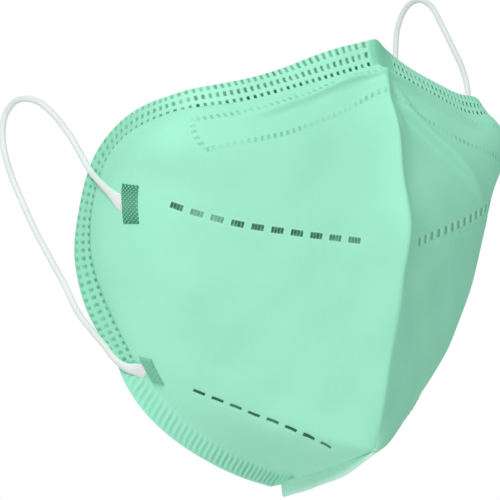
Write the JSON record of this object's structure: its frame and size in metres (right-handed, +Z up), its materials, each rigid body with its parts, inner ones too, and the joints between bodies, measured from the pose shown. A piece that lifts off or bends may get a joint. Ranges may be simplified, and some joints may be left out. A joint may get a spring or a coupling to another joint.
{
  "type": "fold-flat respirator-style face mask with ear loops",
  "caption": "Fold-flat face mask opened as worn: pointed cloth shell, pressed dotted rim, ribbed neck edge, nose wire casing, chin seam and elastic ear loops.",
  "frame": {"origin": "where the top edge of the mask sits on the bridge of the nose, on the centre plane", "axes": "-Y is forward, away from the face; +Z is up; +X is the wearer's left"},
  "size_m": [0.166, 0.1022, 0.1701],
  "materials": {
    "shell_cloth": "matt spunbond nonwoven, mint green",
    "pressed_cloth": "the same nonwoven pressed thin and satin by welding",
    "weld_cloth": "knurled weld, darker green",
    "elastic": "soft round knitted elastic, white"
  },
  "bodies": {
    "root": {"shell": "shell_cloth", "chin_seam": "pressed_cloth", "nose_wire_casing": "shell_cloth", "rim_weld_right": "pressed_cloth", "rim_weld_left": "pressed_cloth", "neck_hem_right": "pressed_cloth", "neck_hem_left": "pressed_cloth", "weld_patch_upper_right": "weld_cloth", "weld_patch_upper_left": "weld_cloth", "weld_patch_lower_right": "weld_cloth", "weld_patch_lower_left": "weld_cloth", "ear_loop_right": "elastic", "ear_loop_left": "elastic"}
  },
  "joints": []
}
